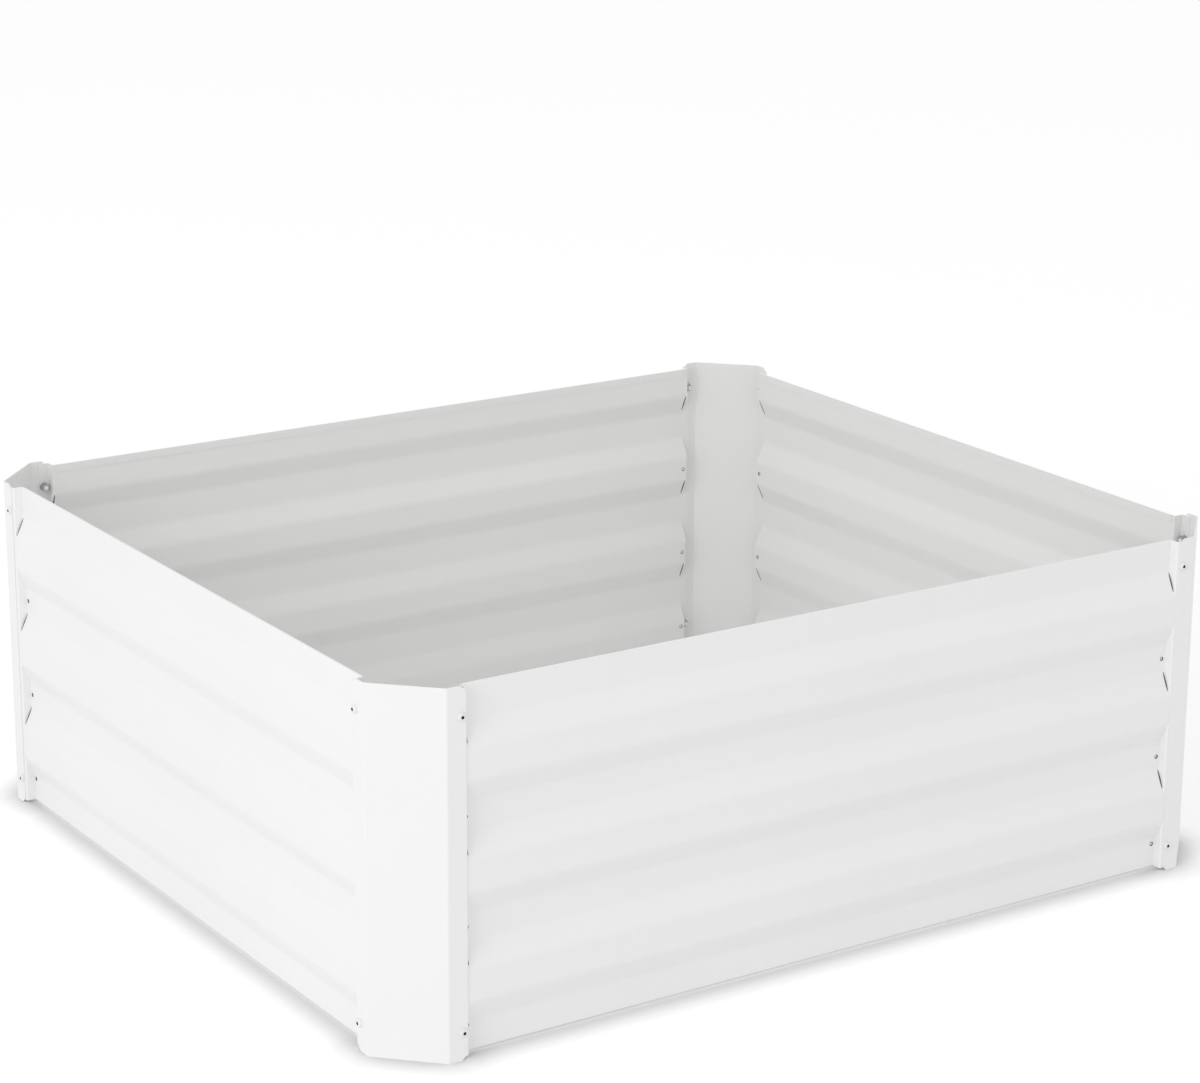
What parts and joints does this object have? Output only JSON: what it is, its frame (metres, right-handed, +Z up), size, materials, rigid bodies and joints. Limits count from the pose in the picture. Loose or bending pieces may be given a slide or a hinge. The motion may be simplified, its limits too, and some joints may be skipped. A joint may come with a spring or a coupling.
{
  "type": "raised garden bed",
  "caption": "Rectangular bottomless raised garden bed of pressed ribbed sheet-steel panels bolted to chamfered corner posts.",
  "frame": {"origin": "centre of the bed on the ground, in the plane of the posts' lower ends", "axes": "+X along the longer sides, towards the right seen from the front; +Y from front to back; +Z up"},
  "size_m": [0.8294, 0.7444, 0.3],
  "materials": {
    "panel_steel": "smooth white polyester coat on galvanised sheet steel, soft satin",
    "post_steel": "smooth white polyester coat on galvanised sheet steel, soft satin",
    "screw_steel": "white lacquered steel, satin",
    "zinc_steel": "bright zinc plate"
  },
  "bodies": {
    "root": {"panel_front": "panel_steel", "panel_right": "panel_steel", "panel_back": "panel_steel", "panel_left": "panel_steel", "corner_post_front_left": "post_steel", "corner_post_front_right": "post_steel", "corner_post_back_right": "post_steel", "corner_post_back_left": "post_steel", "screws_front_left": "screw_steel", "screws_front_right": "screw_steel", "screws_back_right": "screw_steel", "screws_back_left": "screw_steel", "washers_front_left": "zinc_steel", "washers_front_right": "zinc_steel", "washers_back_right": "zinc_steel", "washers_back_left": "zinc_steel", "nuts_front_left": "zinc_steel", "nuts_front_right": "zinc_steel", "nuts_back_right": "zinc_steel", "nuts_back_left": "zinc_steel"}
  },
  "joints": []
}
